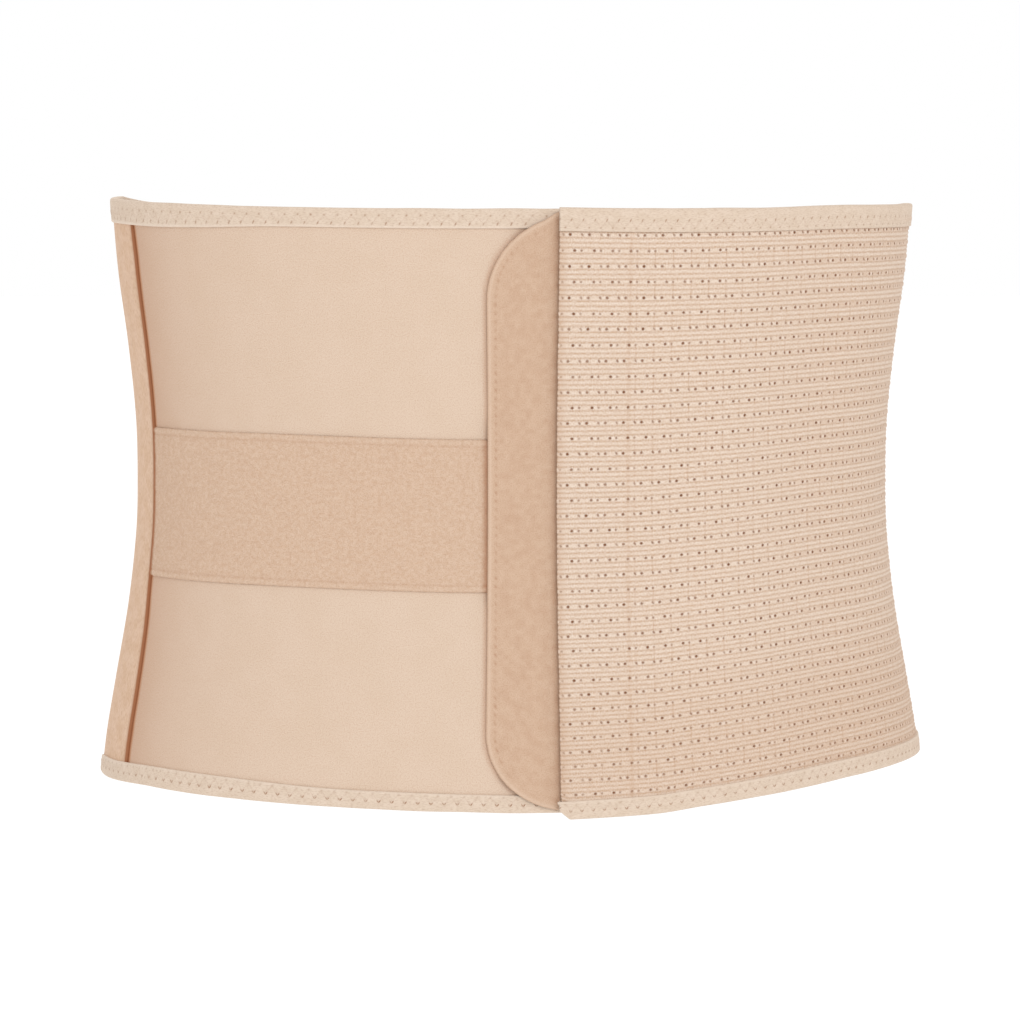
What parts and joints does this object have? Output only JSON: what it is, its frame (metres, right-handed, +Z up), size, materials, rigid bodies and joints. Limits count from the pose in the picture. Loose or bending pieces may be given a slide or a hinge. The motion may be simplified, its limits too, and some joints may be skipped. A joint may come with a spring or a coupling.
{
  "type": "abdominal binder",
  "caption": "Elastic abdominal binder closed round a waist: ribbed elastic wrap with a plush closing tab, lapped over a plush front panel with a loop band, all edges bound with tape.",
  "frame": {"origin": "on the wearer's trunk axis, at half the binder's height", "axes": "+X to the wearer's left side, where the wide elastic panel runs, which is the right of the front view; +Y to the back; +Z up"},
  "size_m": [0.3458, 0.247, 0.2455],
  "materials": {
    "plush_laminate": "soft brushed knit laminated to thin foam, beige",
    "smooth_strip": "smooth close knit, beige",
    "loop_pile": "short loop pile, beige",
    "brushed_tab": "brushed plush, darker beige",
    "ribbed_elastic": "ribbed elastic with small needle eyelets, pale beige",
    "binding_tape": "folded knit tape with zigzag stitches, pale beige"
  },
  "bodies": {
    "root": {"left_front_panel": "plush_laminate", "side_strip": "smooth_strip", "loop_band": "loop_pile", "closure_tab": "brushed_tab", "elastic_panel": "ribbed_elastic", "left_top_binding": "binding_tape", "left_bottom_binding": "binding_tape", "elastic_top_binding": "binding_tape", "elastic_bottom_binding": "binding_tape"}
  },
  "joints": []
}
